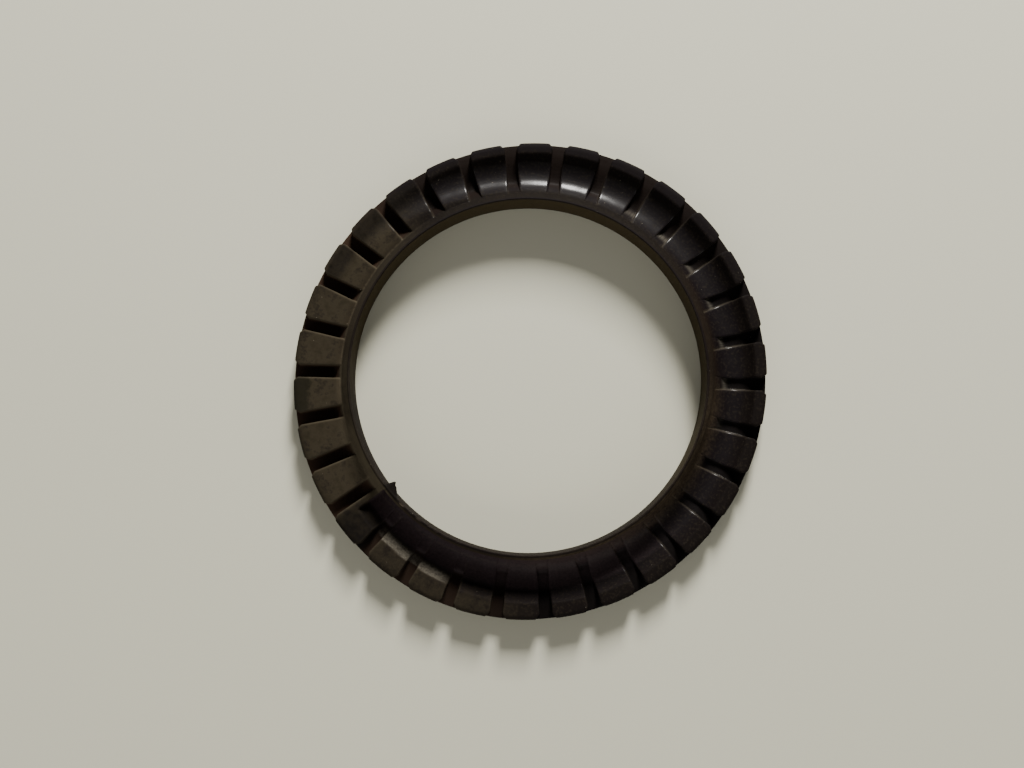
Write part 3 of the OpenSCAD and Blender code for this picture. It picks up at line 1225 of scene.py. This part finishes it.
        # Painted highlight along the block edges that face the lamp
        layers.lay(s["lit_edge"] * (0.4 - 0.2 * s["side"]), Tint.PALE)
        cells = t.node("ShaderNodeTexVoronoi", None, {"Vector": at.mm, "Scale": 0.4, "Randomness": 1.0})
        layers.lay(cells.between(0.06, 0.035) * s["grain"].between(0.5, 0.6) * 0.5, Tint.SPECK)
        return layers.skin

    def gloss(self, at: Place, s: dict[str, Signal]) -> Signal:
        """Weight of the polish.

        Args:
            at: Where each point lies.
            s: Masks and noise by name.

        Returns:
            The weight.
        """
        seat = s["seat"] * (1.0 - s["slot"]) * (1.0 - at.around(*self.dull_arc))
        smooth = seat.peak(s["ramp"] * 0.5 * at.around(*self.scuffed_arc))
        smooth = smooth * (0.15 + 0.85 * at.around(*self.polished_arc))
        broken = 0.38 + 0.6 * (EVEN - s["streak"]) + 0.7 * (s["fine"] - EVEN)
        gloss = smooth * broken * (1.0 - 0.85 * s["side"])
        return gloss.peak(0.45 * s["lit_edge"] * (1.0 - s["side"]))

    def material(self, name: str, ring: Ring) -> bpy.types.Material:
        """Builds the material.

        Args:
            name: Name of the material.
            ring: Sizes of the ring.

        Returns:
            The material.
        """
        t = ShaderTree(name)
        at = Place(t)
        s = self.signs(at, ring)
        bumps = s["grain"] * 0.5 + s["fine"] * 0.3 + s["patch"] * 0.8 + s["streak"] * 0.5 * s["seat"]
        inputs = {
            "Base Color": self.skin(at, s),
            "Roughness": 0.8 + 0.15 * s["dust"] + 0.2 * (s["grain"] - EVEN) - 0.15 * s["seat"],
            "Normal": t.node("ShaderNodeBump", None, {"Height": bumps, "Strength": 0.5, "Distance": 0.0002}),
            "IOR": 1.5,
            "Specular IOR Level": 0.1,
            "Coat Weight": self.gloss(at, s),
            "Coat Roughness": 0.23,
            "Coat IOR": 1.5,
        }
        return t.close(t.node("ShaderNodeBsdfPrincipled", None, inputs))


@dataclass
class SpringMount:
    """The moulded mount."""

    ring: Ring  # Sizes of the ring
    finish: AgedRubber  # Finish of its rubber
    piece: bpy.types.Object | None = None  # The skin, once it is built

    def build(self) -> "SpringMount":
        """Builds the skin and puts it in the CAD node's place.

        Returns:
            The mount.
        """
        skin = RingSkin(self.ring, SpringSeat(self.ring.face_h), RadialSlots(), Wear(), OutOfRound())
        self.piece = skin.build("spring_mount_skin")
        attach(self.piece, BODY)
        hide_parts(NODE)
        log.info("%s: %d faces", self.piece.name, len(self.piece.data.polygons))
        return self

    def dress(self) -> "SpringMount":
        """Gives the skin its rubber."""
        self.piece.data.materials.append(self.finish.material("aged_rubber", self.ring))
        return self


@dataclass(frozen=True)
class Lamp:
    """One soft rectangular light that faces the ring."""

    name: str  # Name of the light
    azimuth: float  # Angle round the ring
    elevation: float  # Angle above the ring's plane
    away: float  # Distance from the ring in metres
    wide: float  # Width in metres
    tall: float  # Height in metres
    power: float  # Power in watts

    def hang(self) -> None:
        """Puts the light in the scene."""
        lamp = bpy.data.lights.new(self.name, "AREA")
        lamp.shape = "RECTANGLE"
        lamp.size = self.wide
        lamp.size_y = self.tall
        lamp.energy = self.power
        lamp.color = (1.0, 0.98, 0.94)
        turn, rise = math.radians(self.azimuth), math.radians(self.elevation)
        way = Vector((math.cos(rise) * math.cos(turn), math.cos(rise) * math.sin(turn), math.sin(rise)))
        hung = bpy.data.objects.new(self.name, lamp)
        hung.location = way * self.away
        hung.rotation_euler = way.to_track_quat("Z", "Y").to_euler()
        bpy.context.scene.collection.objects.link(hung)


@dataclass(frozen=True)
class Studio:
    """Floor, light and camera."""

    # The lights: one over the ring's +Y side, and a weak one from -Y
    lamps: tuple[Lamp, ...] = (
        Lamp("window", 81.5, 31.0, 1.4, 0.3, 0.45, 50.0),
        Lamp("bounce", 262.0, 26.0, 1.4, 3.0, 1.2, 18.0),
    )
    fill: float = 0.13  # Strength of the light from all round
    distance: float = 424.0  # From the camera to the middle of the block faces
    tilt: float = 5.0  # How far the camera leans from the ring's axis towards -Y
    roll: float = 1.7  # Turn of the ring in the picture
    focal_px: float = 1330.0  # Focal length in pixels of a picture wide_px wide
    wide_px: float = 1024.0  # Width of the picture
    aside_px: float = 16.0  # How far right of the picture's middle the ring lies
    above_px: float = 7.0  # How far above it

    def floor(self) -> None:
        """Lays the plain floor under the ring."""
        bpy.ops.mesh.primitive_plane_add(size=8.0, location=(0.0, 0.0, -0.0003))
        plane = bpy.context.object
        plane.name = "floor"
        t = ShaderTree("pale_floor")
        inputs = {"Base Color": (0.54, 0.53, 0.42, 1.0), "Roughness": 0.7}
        plane.data.materials.append(t.close(t.node("ShaderNodeBsdfPrincipled", None, inputs)))

    def light(self) -> None:
        """Hangs the lights and sets the fill."""
        world = bpy.data.worlds.new("room")
        world.use_nodes = True
        glow = world.node_tree.nodes["Background"]
        glow.inputs["Color"].default_value = (1.0, 0.98, 0.93, 1.0)
        glow.inputs["Strength"].default_value = self.fill
        bpy.context.scene.world = world
        for lamp in self.lamps:
            lamp.hang()

    def camera(self, face_h: float) -> None:
        """Sets the camera over the ring.

        Args:
            face_h: Height of the block faces, which the distance is measured from.
        """
        tilt, roll = math.radians(self.tilt), math.radians(self.roll)
        back = Vector((0.0, -math.sin(tilt), math.cos(tilt)))
        right = Vector((math.cos(roll), math.sin(roll), 0.0))
        right = (right - back * right.dot(back)).normalized()
        up = back.cross(right)
        ahead = -back * self.focal_px - right * self.aside_px - up * self.above_px
        ahead = ahead.normalized()
        right = (right - ahead * right.dot(ahead)).normalized()
        lens = bpy.data.cameras.new("camera")
        lens.lens = self.focal_px / self.wide_px * lens.sensor_width
        lens.clip_start = 0.01
        lens.clip_end = 20.0
        shot = bpy.data.objects.new("camera", lens)
        shot.rotation_mode = "QUATERNION"
        shot.rotation_quaternion = Matrix((right, right.cross(ahead), -ahead)).transposed().to_quaternion()
        shot.location = Vector((0.0, 0.0, face_h / METRE)) + back * (self.distance / METRE)
        bpy.context.scene.collection.objects.link(shot)
        bpy.context.scene.camera = shot


def main() -> None:
    """Builds the mount, the stage and the camera."""
    logging.basicConfig(level=logging.INFO, format="%(message)s")
    ring = Ring.of_frame(frame)
    SpringMount(ring, AgedRubber()).build().dress()
    studio = Studio()
    studio.floor()
    studio.light()
    studio.camera(ring.face_h)
    bpy.context.view_layer.update()


if __name__ == "__main__":
    main()
